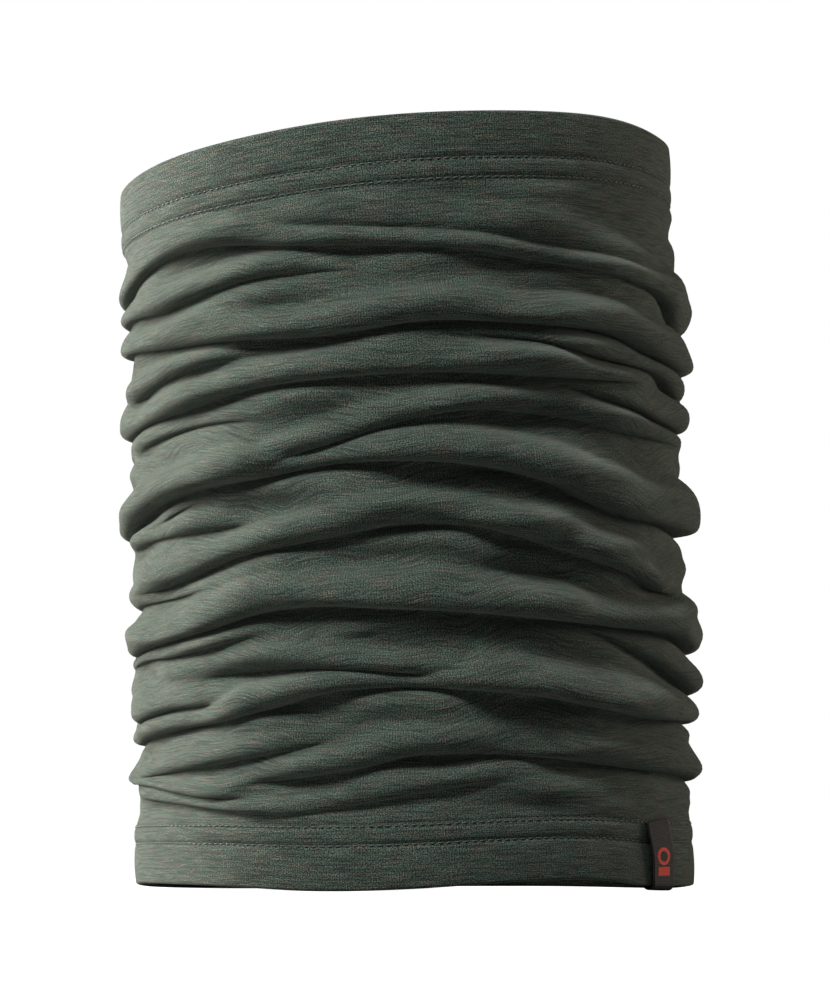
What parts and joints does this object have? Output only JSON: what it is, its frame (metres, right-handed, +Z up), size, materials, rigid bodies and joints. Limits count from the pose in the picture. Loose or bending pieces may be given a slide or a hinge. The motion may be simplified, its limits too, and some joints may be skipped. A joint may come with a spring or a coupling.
{
  "type": "neck gaiter",
  "caption": "Gathered tube of fine knitted jersey worn round the neck, with coverstitched hems, a woven hem label and an inner care label.",
  "frame": {"origin": "under the middle of the gaiter's box, on the surface that the bottom hem stands on", "axes": "+Z up the tube, front faces -Y, +X to the right as seen from the front, which is the side with the woven label"},
  "size_m": [0.1712, 0.167, 0.2155],
  "materials": {
    "jersey": "heathered dark grey-green fine merino jersey, matte with a faint fuzz",
    "thread": "tone-on-tone polyester sewing thread",
    "woven_label": "black damask-woven tape with a plain red woven mark",
    "satin_label": "blank off-white satin tape"
  },
  "bodies": {
    "lower": {"tube_panel": "jersey", "bottom_hem": "jersey", "bottom_needle_thread_lower": "thread", "bottom_needle_thread_upper": "thread", "bottom_looper_thread": "thread", "hem_label": "woven_label", "hem_label_stitch": "thread", "back_seam": "jersey", "back_seam_thread": "thread"},
    "upper": {"top_hem": "jersey", "top_needle_thread_upper": "thread", "top_needle_thread_lower": "thread", "top_looper_thread": "thread"},
    "care_label": {"care_label": "satin_label"}
  },
  "joints": [
    {"name": "pull_up", "type": "slide", "parent": "lower", "child": "upper", "axis": [0, 0, 1], "range_m": [-0.06, 0.09], "deforming": ["tube_panel", "back_seam", "back_seam_thread"]},
    {"name": "care_label_flap", "type": "hinge", "parent": "lower", "child": "care_label", "pos_m": [0.00156, 0.0759, 0.048], "axis": [0, 0, -1], "range_deg": [0, 160]}
  ]
}
